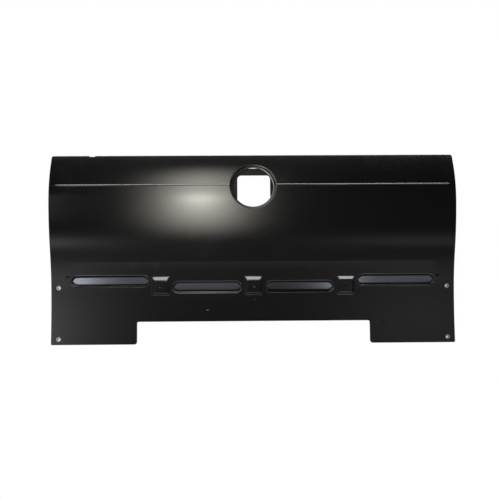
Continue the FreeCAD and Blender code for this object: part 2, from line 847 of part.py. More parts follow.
rivet_holes = [rivet_hole(f"{name}_hole", place) for name, place in rivet_places]
leg_clips = []
for word, side in sides:
    leg_clips.append(
        round_hole(
            f"{word}_leg_clip",
            side * leg_clip.value,
            size("leg_clip_level").value,
            size("clip_hole_radius"),
            far,
        )
    )
skin_drills = list(leg_clips)
before_seam = -size("seam_reach")
clip_places = [("centre", 0.0, "centre_clip_level")]
for word, side in sides:
    clip_places.append((f"{word}_side", side * side_clip.value, "side_clip_level"))
    clip_places.append((f"{word}_middle", side * size("middle_clip_offset").value, "middle_clip_level"))
for word, x, alias in clip_places:
    skin_drills.append(round_hole(f"{word}_clip", x, size(alias).value, size("clip_hole_radius"), before_seam))
for word, centre in pad_centres:
    skin_drills.append(
        round_hole(f"{word}_pad_hole", centre, size("pad_level").value, size("pad_hole_radius"), before_seam)
    )
relief_left = -relief_centre - size("relief_width") / 2
relief_right = -relief_centre + size("relief_width") / 2
relief = box_body("relief", relief_left, relief_right, -far, far, top - size("relief_drop"), beyond)
outer_skin = cut(
    "outer_skin", fuse("skin_closed", [skin_face, hem_fold, hem_flap]), skin_drills + rivet_holes + [relief]
)

# Inner panel: a pan open to the skin, with a flange that the skin's hem holds.
pan_top = top - size("pan_top_gap")


def pan_block(name, inset, ceiling):
    """The pan as a solid block, its walls and its bed face moved in by an inset."""
    body = new_body(name)
    back = bed - inset
    sketch = new_sketch(body, "XZ_Plane", name + "Plan", -back)
    wall = pan_half - inset
    draw_box(sketch, -wall, wall, inset, ceiling)
    pad(body, sketch, back + size("bulge_depth") * 2)
    round_edges(
        body,
        size("pan_corner_radius") - inset,
        lambda at, line: abs(line.y) > 0.9 and at.z < 2,
    )
    round_edges(
        body,
        size("pan_edge_radius") - inset,
        lambda at, line: abs(at.y - back.value) < 0.1 and at.z < ceiling.value - 1,
    )
    return body


def rib_wedge(name, centre, level, width, height, inset):
    """A rib pressed out of the bed face, as a wedge with sloping sides."""
    rise = size("rib_rise").value
    run = size("rib_draft_run").value
    slope = run / rise
    shrink = inset * (sqrt(1 + slope**2) - slope)
    root = bed.value - 2.0
    wedge = doc.addObject("Part::Wedge", name)
    grow = slope * 2.0
    wide = width / 2 + grow - inset * sqrt(1 + slope**2)
    tall = height / 2 + grow - inset * sqrt(1 + slope**2)
    narrow = width / 2 - run - shrink
    short = height / 2 - run - shrink
    wedge.Xmin, wedge.Xmax = centre - wide, centre + wide
    wedge.Zmin, wedge.Zmax = level - tall, level + tall
    wedge.X2min, wedge.X2max = centre - narrow, centre + narrow
    wedge.Z2min, wedge.Z2max = level - short, level + short
    wedge.Ymin, wedge.Ymax = root, bed.value + rise - inset
    return wedge


rib_front = []
rib_rear = []
rib_tall = (size("rib_high") - size("rib_low")).value
rib_middle = (size("rib_high") + size("rib_low")).value / 2
for word, side in sides:
    for number in range(3):
        centre = side * (size("rib_first").value + number * size("rib_pitch").value)
        name = f"{word}_rib_{number}"
        rib_rear.append(rib_wedge(name + "_back", centre, rib_middle, size("rib_width").value, rib_tall, 0.0))
        rib_front.append(
            rib_wedge(name + "_front", centre, rib_middle, size("rib_width").value, rib_tall, inner.value)
        )
for number in range(3):
    level = size("cross_rib_low").value + number * size("cross_rib_pitch").value
    wide = size("cross_rib_length").value
    rib_rear.append(rib_wedge(f"cross_rib_{number}_back", 0.0, level, wide, size("rib_width").value, 0.0))
    rib_front.append(rib_wedge(f"cross_rib_{number}_front", 0.0, level, wide, size("rib_width").value, inner.value))

pan_rear = pan_block("pan_rear", nothing, pan_top)
pan_hollow = pan_block("pan_hollow", inner, beyond)
flange_zone = box_body("flange_zone", -far, far, -far, size("seam_reach"), side_low - 1, hem_top - 1)
flange_sheet = common(
    "flange_sheet", [cut("flange_stack", flange_front, [flange_rear]), flange_outline, flange_zone]
)
pan_form = fuse("pan_form", [common("pan_shell", [pan_rear, flange_front]), flange_sheet] + rib_rear)
pan_inside = fuse("pan_inside", [pan_hollow] + rib_front)

access = new_body("access_opening")
access_sketch = new_sketch(access, "XZ_Plane", "AccessWindow", -bed - 40)
draw_box(
    access_sketch,
    -size("access_width") / 2,
    size("access_width") / 2,
    size("access_level") - size("access_height") / 2,
    size("access_level") + size("access_height") / 2,
)
pad(access, access_sketch, size("bulge_depth"))
round_edges(access, size("access_radius"), lambda at, line: abs(line.y) > 0.9)

# Latch slots and bolt holes run through each side wall, its channel and its plate.
slot_middle = size("side_plate_depth")
slots = new_body("latch_slots")
slot_sketch = new_sketch(slots, "YZ_Plane", "LatchSlot")
draw_box(
    slot_sketch,
    slot_middle - size("latch_slot_width") / 2,
    slot_middle + size("latch_slot_width") / 2,
    size("latch_level") - size("latch_slot_height") / 2,
    size("latch_level") + size("latch_slot_height") / 2,
)
pad(slots, slot_sketch, far * 2, both_ways=True)
round_edges(slots, size("bead_roll"), lambda at, line: abs(line.x) > 0.9)
side_bolts = new_body("side_bolts")
side_bolt_sketch = new_sketch(side_bolts, "YZ_Plane", "SideBolts")
for level, pitch in (("latch_level", "latch_bolt_pitch"), ("strap_level", "strap_bolt_pitch")):
    for way in (-0.5, 0.5):
        draw_circle(side_bolt_sketch, slot_middle, size(level) + size(pitch) * way, size("plate_bolt_radius"))
pad(side_bolts, side_bolt_sketch, far * 2, both_ways=True)
side_centre = new_body("side_limit")
side_centre_sketch = new_sketch(side_centre, "XZ_Plane", "SideLimit")
draw_box(side_centre_sketch, -pan_half / 2, pan_half / 2, side_low, beyond)
pad(side_centre, side_centre_sketch, far, both_ways=True)
side_drills = cut("side_drills", fuse("side_openings", [slots, side_bolts]), [side_centre])

# Hinge bolts: two a side, through the pan's floor, the bottom rail and the hinge plate.
def upright(name, x, y, radius, low, high):
    """A round tool or hole along Z."""
    tool = doc.addObject("Part::Cylinder", name)
    tool.Radius = radius.value
    tool.setExpression("Radius", radius.text)
    tool.Height = high - low
    tool.Placement = FreeCAD.Placement(Vector(x, y, low), Rotation())
    return tool


hinge_drills = []
thread_drills = {}
for word, side in sides:
    thread_drills[word] = []
    for row, way in (("front", -0.5), ("rear", 0.5)):
        x = side * hinge_place.value
        y = way * size("hinge_bolt_row").value
        name = f"{word}_{row}_hinge_bolt"
        hinge_drills.append(upright(name, x, y, size("hinge_bolt_radius"), -5.0, 5.0))
        thread_drills[word].append(upright(name + "_thread", x, y, size("hinge_thread_radius"), -5.0, 20.0))
drains = []
for word, side in sides:
    x = side * size("drain_offset").value
    drains.append(upright(f"{word}_drain", x, 0.0, size("drain_radius"), -5.0, 5.0))

inner_panel = cut(
    "inner_panel",
    cut("pan_sheet", pan_form, [pan_inside]),
    [access, side_drills] + leg_clips + rivet_holes + hinge_drills + drains,
)

# Handle bracket: a bridge behind the aperture, square to its axis, with a flange each side on the skin.
bracket_half = size("bracket_width") / 2
bracket_gauge = size("bracket_gauge")
bridge_half = bracket_half - size("bracket_flange")
bracket_skin = side_block("bracket_skin", flange_face + bracket_gauge)


def aperture_box(name, half, back, low, high, shift=nothing):
    """A block square to the aperture, from in front of the skin to a depth."""
    body = box_body(name, shift - half, shift + half, -size("bulge_depth"), back, low, high)
    body.Placement = aperture_frame
    return body


bracket_low = size("bracket_low")
bracket_high = size("bracket_high")
bridge = aperture_box("bridge", bridge_half, size("bracket_face") + bracket_gauge, bracket_low, bracket_high)
bridge_hollow = aperture_box(
    "bridge_hollow", bridge_half - bracket_gauge, size("bracket_face"), bracket_low - 10, bracket_high + 10
)
flange_span = aperture_box("flange_span", bracket_half, size("bulge_depth"), bracket_low, bracket_high)
window = aperture_box(
    "window",
    size("bracket_window_width") / 2,
    size("bulge_depth"),
    size("bracket_window_low"),
    size("bracket_window_high"),
    size("bracket_window_shift"),
)
round_edges(window, size("bracket_window_radius"), lambda at, line: abs(line.y) > 0.9)
bracket_flanges = common("bracket_flanges", [cut("bracket_stack", flange_front, [bracket_skin]), flange_span])
bridge_shell = common("bridge_shell", [bridge, flange_front])
handle_bracket = cut(
    "handle_bracket", fuse("bracket_form", [bridge_shell, bracket_flanges]), [bridge_hollow, window]
)


# Rails and channels: folded angles that nest in the pan's corners.
def angle_body(label, role, corners, length, level=None, fold=None, both_ways=True):
    """A folded section, with its outside and inside fold radii if the fold is given."""
    body = new_body(label)
    sketch = new_sketch(body, role, label + "_section", level)
    draw_loop(sketch, corners)
    pad(body, sketch, length, both_ways=both_ways)
    if fold is not None:
        fold_y, fold_other, axis, outside = fold
        for radius, shift in ((outside, 0.0), (outside - rail, rail.value)):
            def at_fold(at, line, shift=shift):
                other = at.z if axis == "x" else abs(at.x)
                sign = 1.0 if axis == "x" else -1.0
                along = abs(line.x) if axis == "x" else abs(line.z)
                near_y = abs(at.y - (fold_y.value - shift)) < 0.1
                return along > 0.9 and near_y and abs(other - (fold_other.value + sign * shift)) < 0.1

            round_edges(body, radius, at_fold)
    return body


nest_radius = size("pan_edge_radius") - inner + clearance
floor_top = inner
bottom_rail_front = bed_inside - size("bottom_rail_reach")
bottom_rail = angle_body(
    "bottom_rail",
    "YZ_Plane",
    [
        (bottom_rail_front, floor_top),
        (bed_inside, floor_top),
        (bed_inside, floor_top + size("bottom_rail_rise")),
        (bed_inside - rail, floor_top + size("bottom_rail_rise")),
        (bed_inside - rail, floor_top + rail),
        (bottom_rail_front, floor_top + rail),
    ],
    rail_end * 2,
    fold=(bed_inside, floor_top, "x", nest_radius),
)
bottom_rail_drilled = cut("bottom_rail_drilled", bottom_rail, hinge_drills + drains)

top_under = top - skin
top_rail = angle_body(
    "top_rail",
    "YZ_Plane",
    [
        (bed_inside - size("top_rail_reach"), top_under - rail),
        (bed_inside - rail, top_under - rail),
        (bed_inside - rail, top_under - size("top_rail_drop")),
        (bed_inside, top_under - size("top_rail_drop")),
        (bed_inside, top_under),
        (bed_inside - size("top_rail_reach"), top_under),
    ],
    rail_end * 2,
)
top_rail_notched = cut("top_rail_notched", top_rail, [relief])

wall_inside = pan_half - inner
channel_half = {}
for word, side in sides:
    web = wall_inside - rail
    channel = angle_body(
        f"{word}_side_channel",
        "XY_Plane",
        [
            (wall_inside * side, bed_inside - size("channel_web")),
            (wall_inside * side, bed_inside),
            ((web - size("channel_leg")) * side, bed_inside),
            ((web - size("channel_leg")) * side, bed_inside - rail),
            (web * side, bed_inside - rail),
            (web * side, bed_inside - size("channel_web")),
        ],
        size("channel_high") - size("channel_low"),
        level=size("channel_low"),
        fold=(bed_inside, wall_inside, "z", nest_radius),
        both_ways=False,
    )
    channel_half[word] = cut(f"{word}_channel_drilled", channel, [side_drills])


def side_plate(label, side, level, height):
    """A plate on a side channel, with what runs through it there."""
    body = new_body(label)
    face = (wall_inside - rail) * side
    sketch = new_sketch(body, "YZ_Plane", label + "_outline", face)
    half = size("latch_width") / 2
    draw_box(sketch, slot_middle - half, slot_middle + half, level - height / 2, level + height / 2)
    pad(body, sketch, size("plate_gauge"), back=side > 0)
    round_edges(body, size("bead_roll"), lambda at, line: abs(line.x) > 0.9)
    return cut(label + "_drilled", body, [side_drills])


plates = {}
for word, side in sides:
    plates[f"{word}_latch_plate"] = side_plate(
        f"{word}_latch_plate", side, size("latch_level"), size("latch_height")
    )
    plates[f"{word}_strap_plate"] = side_plate(
        f"{word}_strap_plate", side, size("strap_level"), size("strap_height")
    )

# Hinge plates on the bottom rail.
for word, side in sides:
    name = f"{word}_hinge_plate"
    hinge = new_body(name)
    hinge_sketch = new_sketch(hinge, "XY_Plane", name + "_outline", floor_top + rail)
    centre = hinge_place * side
    reach = size("hinge_plate_length") / 2
    draw_box(
        hinge_sketch,
        centre - reach,
        centre + reach,
        -size("hinge_plate_width") / 2,
        size("hinge_plate_width") / 2,
    )
    pad(hinge, hinge_sketch, size("hinge_plate_gauge"))
    round_edges(hinge, size("bead_roll"), lambda at, line: abs(line.z) > 0.9)
    plates[name] = cut(name + "_tapped", hinge, thread_drills[word])

# Hat stiffeners on the inside of the bed face.
hats = {}
for word, side in sides:
    name = f"{word}_hat_stiffener"
    wide = size("hat_width") / 2
    crown = size("hat_crown") / 2
    centre = size("hat_offset") * side
    front = bed_inside - size("hat_depth")
    run = size("hat_draft_run")
    profile = [
        (centre - wide, bed_inside),
        (centre - wide, bed_inside - rail),
        (centre - crown, bed_inside - rail),
        (centre - crown + run, front),
        (centre + crown - run, front),
        (centre + crown, bed_inside - rail),
        (centre + wide, bed_inside - rail),
        (centre + wide, bed_inside),
        (centre + crown - rail, bed_inside),
        (centre + crown - rail - run, front + rail),
        (centre - crown + rail + run, front + rail),
        (centre - crown + rail, bed_inside),
    ]
    body = new_body(name)
    hat_sketch = new_sketch(body, "XY_Plane", name + "_section", size("hat_low"))
    draw_loop(hat_sketch, profile)
    pad(body, hat_sketch, size("hat_high") - size("hat_low"))
    hats[name] = body

# Leg doublers: curved sheets on the back of the flange in each leg.
doubler_rear = side_block("doubler_rear", flange_back + rail)
doublers = {}
for word, side in sides:
    near = doubler_inner * side
    away = doubler_outer * side
    left, right = (near, away) if side > 0 else (away, near)
    zone = box_body(f"{word}_doubler_zone", left, right, -far, nothing, size("doubler_low"), size("doubler_high"))
    round_edges(zone, size("notch_radius"), lambda at, line: abs(line.y) > 0.9)
    sheet_piece = common(
        f"{word}_doubler_sheet", [cut(f"{word}_doubler_stack", flange_rear, [doubler_rear]), zone]
    )
    doublers[f"{word}_leg_doubler"] = cut(f"{word}_doubler_drilled", sheet_piece, leg_clips)

# Rivet nuts: flange on the skin, bulb behind the two sheets, a plain grip and a threaded barrel.
rivets = {}
for name, place in rivet_places:
    body = new_body(name)
    flange_sketch = new_sketch(body, "XZ_Plane", name + "_flange")
    draw_circle(flange_sketch, 0.0, 0.0, size("rivet_flange_radius"))
    pad(body, flange_sketch, size("rivet_flange_gauge"))
    barrel_sketch = new_sketch(body, "XZ_Plane", name + "_barrel")
    draw_circle(barrel_sketch, 0.0, 0.0, size("rivet_barrel_radius"))
    pad(body, barrel_sketch, size("rivet_barrel_length"), back=True)
    bulb_sketch = new_sketch(body, "XZ_Plane", name + "_bulb", -flange_back)
    draw_circle(bulb_sketch, 0.0, 0.0, size("rivet_bulb_radius"))
    pad(body, bulb_sketch, size("rivet_bulb_length"), back=True)
    bore_sketch = new_sketch(body, "XZ_Plane", name + "_bore")
    draw_circle(bore_sketch, 0.0, 0.0, size("rivet_bore_radius"))
    pocket(body, bore_sketch)
    grip_sketch = new_sketch(body, "XZ_Plane", name + "_grip")
    draw_circle(grip_sketch, 0.0, 0.0, size("rivet_grip_radius"))
    pocket(body, grip_sketch, size("rivet_grip_depth") * 2)
    body.Placement = place
    rivets[name] = body

# Square weld nuts behind the pads.
nuts = {}
for word, centre in pad_centres:
    name = f"{word}_pad_nut"
    body = new_body(name)
    seat = Size(pad_front + skin.value, repr(pad_front + skin.value))
    nut_sketch = new_sketch(body, "XZ_Plane", name + "_outline", -seat)
    half = size("nut_width") / 2
    middle = as_size(centre)
    level = size("pad_level")
    draw_box(nut_sketch, middle - half, middle + half, level - half, level + half)
    draw_circle(nut_sketch, middle, level, size("nut_bore_radius"))
    pad(body, nut_sketch, size("nut_height"), back=True)
    nuts[name] = body

doc.recompute()

NODES = {
    "outer_skin": outer_skin,
    "inner_panel": inner_panel,
    "handle_bracket": handle_bracket,
    "bottom_rail": bottom_rail_drilled,
    "top_rail": top_rail_notched,
    "left_side_channel": channel_half["left"],
    "right_side_channel": channel_half["right"],
}
for group in (plates, hats, doublers, rivets, nuts):
    NODES.update(group)

troubled = [item.Name for item in doc.Objects if "Invalid" in item.State or "Error" in item.State]
if troubled:
    raise RuntimeError(f"objects that did not compute: {troubled}")
for node, item in NODES.items():
    shape = item.Shape
    if shape.isNull() or not shape.isValid() or len(shape.Solids) != 1:
        raise RuntimeError(f"{node} is not one valid solid: {len(shape.Solids)} solids")
for node, item in NODES.items():
    item.Label = node
    item.Shape.exportStep(os.path.join("parts", node + ".step"))
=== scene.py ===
# %% [markdown]
# A bare pickup tailgate: two pressed sheets hemmed together, dipped in glossy black primer.
# The pressed outer skin is what the eye reads, so it is rebuilt here as one fine sheet. The hidden
# rails, plates and nuts keep their CAD shapes and only get a finish.
#
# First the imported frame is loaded. Its nodes give every size that this script can measure.

# %% Load the frame
import bpy
import bmesh
from math import asin, atan2, cos, hypot, pi, radians, sin, sqrt, tan
from mathutils import Matrix, Vector


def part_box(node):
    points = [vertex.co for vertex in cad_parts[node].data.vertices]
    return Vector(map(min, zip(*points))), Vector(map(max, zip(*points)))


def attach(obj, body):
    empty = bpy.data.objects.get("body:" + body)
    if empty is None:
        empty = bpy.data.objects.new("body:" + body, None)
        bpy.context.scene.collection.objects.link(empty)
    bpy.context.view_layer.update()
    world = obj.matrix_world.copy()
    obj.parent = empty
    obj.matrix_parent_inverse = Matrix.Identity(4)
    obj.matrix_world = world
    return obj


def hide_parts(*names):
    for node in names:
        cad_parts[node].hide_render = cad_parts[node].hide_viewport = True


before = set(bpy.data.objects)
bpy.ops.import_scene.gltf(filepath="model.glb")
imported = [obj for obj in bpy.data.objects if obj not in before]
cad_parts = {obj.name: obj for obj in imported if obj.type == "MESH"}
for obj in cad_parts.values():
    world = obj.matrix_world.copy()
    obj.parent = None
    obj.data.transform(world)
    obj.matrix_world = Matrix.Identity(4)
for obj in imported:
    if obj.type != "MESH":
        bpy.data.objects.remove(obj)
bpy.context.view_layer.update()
skin_low, skin_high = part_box("outer_skin")
MM = 0.001
HALF = skin_high.x
TOP = skin_high.z
FOOT = skin_low.z
LIP_BACK = skin_high.y
print("gate", round(2 * HALF, 4), "wide, from", round(FOOT, 4), "to", round(TOP, 4))

# %% [markdown]
# Seen from its end, the skin is a run of arcs that meet without a corner: a skirt, a hollow waist, a
# belly, a crown and a small bend into the top. A formula for its depth at a height gives exact
# positions and normals, so the sheet can be as fine as its highlights need.

# %% Side view of the skin
BULGE_DEPTH = 70 * MM
BULGE_HEIGHT = 402 * MM
CROWN = 260 * MM
BELLY = 650 * MM
BELLY_TURN = radians(15)
WAIST = 548 * MM
SKIRT = 1290 * MM
TOP_BEND = 6 * MM

waist_z = BULGE_HEIGHT - (BELLY + WAIST) * sin(BELLY_TURN)
waist_y = BELLY - BULGE_DEPTH - (BELLY + WAIST) * cos(BELLY_TURN) + WAIST
belly_foot = BULGE_HEIGHT - BELLY * sin(BELLY_TURN)
bend_z = TOP - TOP_BEND
bend_y = CROWN - BULGE_DEPTH - sqrt((CROWN - TOP_BEND) ** 2 - (bend_z - BULGE_HEIGHT) ** 2)
bend_lean = asin((bend_z - BULGE_HEIGHT) / (CROWN - TOP_BEND))
crown_top = BULGE_HEIGHT + CROWN * sin(bend_lean)


def side_curve(z):
    """The skin's Y at a height, and its outward normal's Y and Z."""
    if z > belly_foot:
        radius = CROWN if z > BULGE_HEIGHT else BELLY
        rise = z - BULGE_HEIGHT
        reach = sqrt(radius**2 - rise**2)
        return radius - BULGE_DEPTH - reach, -reach / radius, rise / radius
    radius = WAIST if z > waist_z else SKIRT
    drop = z - waist_z
    reach = sqrt(radius**2 - drop**2)
    return waist_y - radius + reach, -reach / radius, -drop / radius


for level in (FOOT, waist_z, BULGE_HEIGHT, crown_top):
    print("height", round(level, 4), "depth and normal", [round(v, 4) for v in side_curve(level)])

# %% [markdown]
# The features are pressed out of or into that curve, so one function gives the lift above it: a fine
# ridge each side of the handle opening, three blunt pads, and four beads. The ridge and the pads catch
# light on their upper slopes. A bead has an easy wall above and a floor that is deepest at its lower
# side, so that its floor looks down. Each is a ramp held between two limits, as a press leaves it.

# %% Pressed features as a lift above the curve
RIDGE_Z = 467.5 * MM
RIDGE_END = 703 * MM
RIDGE_RISE = 2.8 * MM
RIDGE_ABOVE = 3.4 * MM
RIDGE_BELOW = 3.2 * MM
RIDGE_TAPER = 14 * MM
RIDGE_ROLL = 0.4 * MM
PAD_PITCH = 328 * MM
PAD_Z = 112 * MM
PAD_BASE = (60 * MM, 66 * MM)
PAD_FACE = (45 * MM, 45 * MM)
PAD_SAG = 2 * MM
PAD_RISE = 12 * MM
PAD_CORNER = 0.04
PAD_ROLL = 0.12
BEAD_HEIGHT = 42 * MM
BEAD_DRAFT = tan(radians(8))
BEAD_DRAFT_ABOVE = tan(radians(52))
BEAD_SHALLOW = 6.5 * MM
BEAD_DEEP = 18 * MM
BEAD_ROLL = 1.6 * MM
BEADS = [
    (side * centre * MM, level * MM, length * MM)
    for side in (-1, 1)
    for centre, level, length in ((507, 130, 274), (164, 108.5, 242))
]
PADS = [-PAD_PITCH, 0.0, PAD_PITCH]


def clamp(value, low=0.0, high=1.0):
    """The value held between two limits."""
    return max(low, min(high, value))


def eased(one, other, roll):
    """The lower of two values, with a rounded change from one to the other."""
    share = clamp(0.5 + (other - one) / (2 * roll))
    return other + (one - other) * share - roll * share * (1 - share)


def ridge_lift(x, z):
    """The feature line: an easy slope above its crest and a steep one below, fading near the edge."""
    off = z - RIDGE_Z
    above = RIDGE_RISE * (1 - off / RIDGE_ABOVE)
    below = RIDGE_RISE * (1 + off / RIDGE_BELOW)
    fade = clamp((RIDGE_END - abs(x)) / RIDGE_TAPER)
    return max(0.0, eased(above, below, RIDGE_ROLL) - RIDGE_RISE * (1 - fade))


def pad_lift(x, z):
    """A pad: the lowest of the ramps from its four sides, held at its rise."""
    best = 0.0
    run_across = (PAD_BASE[0] - PAD_FACE[0]) / 2
    run_up = (PAD_BASE[1] - PAD_FACE[1]) / 2
    for centre in PADS:
        across = (PAD_BASE[0] / 2 - abs(x - centre)) / run_across
        above = (PAD_Z + PAD_BASE[1] / 2 - z) / (run_up + PAD_SAG)
        below = (z - PAD_Z + PAD_BASE[1] / 2) / (run_up - PAD_SAG)
        lift = eased(eased(across, min(above, below), PAD_CORNER), 1.0, PAD_ROLL)
        best = max(best, -eased(-lift, 0.0, PAD_ROLL))
    return PAD_RISE * best


def bead_sink(x, z):
    """A bead: a wall round a stadium, easier above, down to a floor deepest at its lower side."""
    deepest = 0.0
    for centre, level, length in BEADS:
        along = max(0.0, abs(x - centre) - (length - BEAD_HEIGHT) / 2)
        inside = BEAD_HEIGHT / 2 - hypot(along, z - level)
        up = (z - level) / BEAD_HEIGHT
        floor = BEAD_SHALLOW + (BEAD_DEEP - BEAD_SHALLOW) * clamp(0.5 - up)
        draft = BEAD_DRAFT + (BEAD_DRAFT_ABOVE - BEAD_DRAFT) * clamp(2 * up)
        wall = -eased(-inside / draft, 0.0, BEAD_ROLL)
        deepest = max(deepest, eased(wall, floor, BEAD_ROLL))
    return deepest


def skin_point(x, z, sink=0.0):
    """A point of the pressed skin, or of a layer behind it."""
    y, normal_y, normal_z = side_curve(z)
    lift = ridge_lift(x, z) + pad_lift(x, z) - bead_sink(x, z) - sink
    return Vector((x, y + normal_y * lift, z + normal_z * lift))


def skin_normal(z):
    """The outward normal of the plain curve."""
    return Vector((0.0, *side_curve(z)[1:]))


# %% [markdown]
# A sheet reads well when its mesh lines run where its edges run. So the lines are spaced by listed
# steps: wide over plain metal, under 2 mm over the ridge, the pads and the ends of the beads.

# %% Mesh lines across and up the panel
HEM_ROLL = 2 * MM
RIM = HALF - HEM_ROLL
NOTCH = 414 * MM
LEG_LOW = FOOT + HEM_ROLL
SHELF = -12 * MM
INNER_BEND = 8 * MM
OUTER_BEND = 3 * MM
HEM_TOP = 560 * MM
RELIEF = (-586 * MM, -561 * MM, 573.5 * MM)
APERTURE_BLOCK = (-112 * MM, 112 * MM, 356 * MM, 560 * MM)


def spread(stops):
    """Coordinates from a list of (start, step) stops; the last stop only ends the run."""
    lines = []
    for (start, step), (end, _) in zip(stops, stops[1:]):
        count = max(1, round((end - start) / step))
        lines += [start + (end - start) * i / count for i in range(count)]
    return [v * MM for v in lines + [stops[-1][0]]]


def mirrored(lines):
    """Lines from 0 outwards, repeated on the left."""
    return [-v for v in reversed(lines) if v > 0] + lines


ACROSS = mirrored(spread([
    (0, 1.75), (35, 2), (68, 4), (112, 12), (257, 2), (289, 1.75), (363, 2), (396, 5), (406, 4),
    (414, 2), (422, 12), (561, 12.5), (586, 11), (618, 2), (648, 6), (710, 1.5), (713, 1),
]))
UP = spread([
    (-91, 1.5), (-88, 2.5), (-83, 9), (-20, 4), (-12, 8), (74, 1.6), (156, 10), (356, 7), (456, 0.8),
    (480, 8), (560, 3), (573.5, 1), (crown_top / MM, 1),
])
WIDE = [-HALF] + ACROSS + [HALF]
print("lines", len(ACROSS), "across,", len(UP), "up the front")

# %% [markdown]
# The legs have round corners. A square of cells there is squeezed into a quarter disc, so that the
# border runs round the bend and the inner lines stay where they are.

# %% Corners, layers and the top edge
def squeeze(p, q):
    """A point of the unit square, moved into the quarter disc."""
    return p * sqrt(1 - q * q / 2), q * sqrt(1 - p * p / 2)


def bent(x, z):
    """A mesh line crossing, moved where a leg's corner is round."""
    side = -1 if x < 0 else 1
    away = abs(x)
    for centre, bend, way in ((NOTCH + INNER_BEND, INNER_BEND, -1), (RIM - OUTER_BEND, OUTER_BEND, 1)):
        p = (away - centre) * way / bend
        q = (LEG_LOW + bend - z) / bend
        if 0 <= p <= 1.001 and 0 <= q <= 1.001 and away > NOTCH - MM:
            p, q = squeeze(min(p, 1.0), min(q, 1.0))
            return side * (centre + way * p * bend), LEG_LOW + bend - q * bend
    return x, z


CORNER = 8 * MM


def ceiling(x):
    """How high the top edge is at a place across the gate: its ends are rounded."""
    past = clamp((abs(x) - HALF + CORNER) / CORNER)
    return TOP - CORNER + CORNER * sqrt(1 - past * past)


def front_point(x, z, sink=0.0):
    """A point of the front, on the outer surface or on a layer behind it."""
    x, z = bent(x, z)
    return skin_point(x, min(z, ceiling(x) - sink), sink)


def over_the_top(sink=0.0, bend_steps=6):
    """The rest of the side view as (y, z) pairs: over the top edge and down the rear lip."""
    radius = TOP_BEND - sink
    back = LIP_BACK - sink
    rear_bend = 2 * MM - sink * 0.8
    run = []
    for step in range(1, bend_steps + 1):
        turn = bend_lean + (pi / 2 - bend_lean) * step / bend_steps
        run.append((bend_y - radius * cos(turn), bend_z + radius * sin(turn)))
    top = TOP - sink
    run += [(bend_y + (back - rear_bend - bend_y) * step / 4, top) for step in (1, 2, 3)]
    for step in range(4):
        turn = pi / 2 * step / 3
        run.append((back - rear_bend + rear_bend * sin(turn), top - rear_bend + rear_bend * cos(turn)))
    return run + [(back, TOP - 8 * MM), (back, TOP - 14 * MM)]


# %% [markdown]
# A small class keeps the mesh. It gives patches that share a border the same points, so the sheet is
# joined without a seam.

# %% A sheet that patches share
class Sheet:
    """A mesh joined up from patches whose common points are the same points."""

    def __init__(self):
        self.mesh = bmesh.new()
        self.known = {}

    def point(self, place):
        """The mesh point at a place, made once."""
        key = tuple(round(v * 1e5) for v in place)
        if key not in self.known:
            self.known[key] = self.mesh.verts.new(place)
        return self.known[key]

    def face(self, *places):
        """One face; a corner given twice is dropped."""
        corners = list(dict.fromkeys(self.point(place) for place in places))
        if len(corners) > 2 and not self.mesh.faces.get(corners):
            self.mesh.faces.new(corners)

    def strip(self, near, far):
        """A row of faces between two runs of places."""
        for a, b, c, d in zip(near, near[1:], far[1:], far):
            self.face(a, b, c, d)

    def finish(self, name):
        """The mesh as a smooth object."""
        bmesh.ops.recalc_face_normals(self.mesh, faces=self.mesh.faces)
        data = bpy.data.meshes.new(name)
        self.mesh.to_mesh(data)
        self.mesh.free()
        data.polygons.foreach_set("use_smooth", [True] * len(data.polygons))
        thing = bpy.data.objects.new(name, data)
        bpy.context.collection.objects.link(thing)
        print(name, "has", sum(len(face.vertices) - 2 for face in data.polygons), "triangles")
        return thing


# %% [markdown]
# Round holes need round mesh. Each one takes a block of cells out of the grid, and rings run from the
# block's border to the hole's rim. The rim then turns inwards, as a pierced or drawn hole does.

# %% Rings round a hole
def slide(distance, half, reach, kept):
    """A distance along a block's side, mapped to the circle: kept near the middle, squeezed beyond."""
    size = abs(distance)
    if size > kept:
        size = kept + (size - kept) * (reach - kept) / (half - kept)
    return size if distance >= 0 else -size


def block_rings(block, centre, radius, kept=0.0, steps=2):
    """Closed runs of (x, z) from a block's border towards a circle, and the angles on the circle."""
    x0, x1, z0, z1 = block
    xs = [v for v in ACROSS if x0 - 1e-6 < v < x1 + 1e-6]
    zs = [v for v in UP if z0 - 1e-6 < v < z1 + 1e-6]
    border = [(xs[-1], z) for z in zs] + [(x, zs[-1]) for x in reversed(xs[:-1])]
    border += [(xs[0], z) for z in reversed(zs[:-1])] + [(x, zs[0]) for x in xs[1:-1]]
    border.append(border[0])
    reach = radius * sqrt(0.5)
    angles = []
    for x, z in border:
        dx, dz = x - centre[0], z - centre[1]
        if x in (xs[0], xs[-1]):
            half = (zs[-1] if dz > 0 else zs[0]) - centre[1]
            up = slide(dz, abs(half), reach, kept)
            across = sqrt(radius**2 - up**2) * (1 if dx > 0 else -1)
        else:
            half = (xs[-1] if dx > 0 else xs[0]) - centre[0]
            across = slide(dx, abs(half), reach, 0.0)
            up = sqrt(radius**2 - across**2) * (1 if dz > 0 else -1)
        angles.append(atan2(up, across))
    return border, angles


def between(one, other, part):
    """A point part of the way from one to another."""
    return tuple(a + (b - a) * part for a, b in zip(one, other))


def cells_round(centre, reach):
    """The block of whole cells that holds a square round a centre."""
    x0 = max(v for v in ACROSS if v < centre[0] - reach)
    x1 = min(v for v in ACROSS if v > centre[0] + reach)
    z0 = max(v for v in UP if v < centre[1] - reach)
    z1 = min(v for v in UP if v > centre[1] + reach)
    return x0, x1, z0, z1


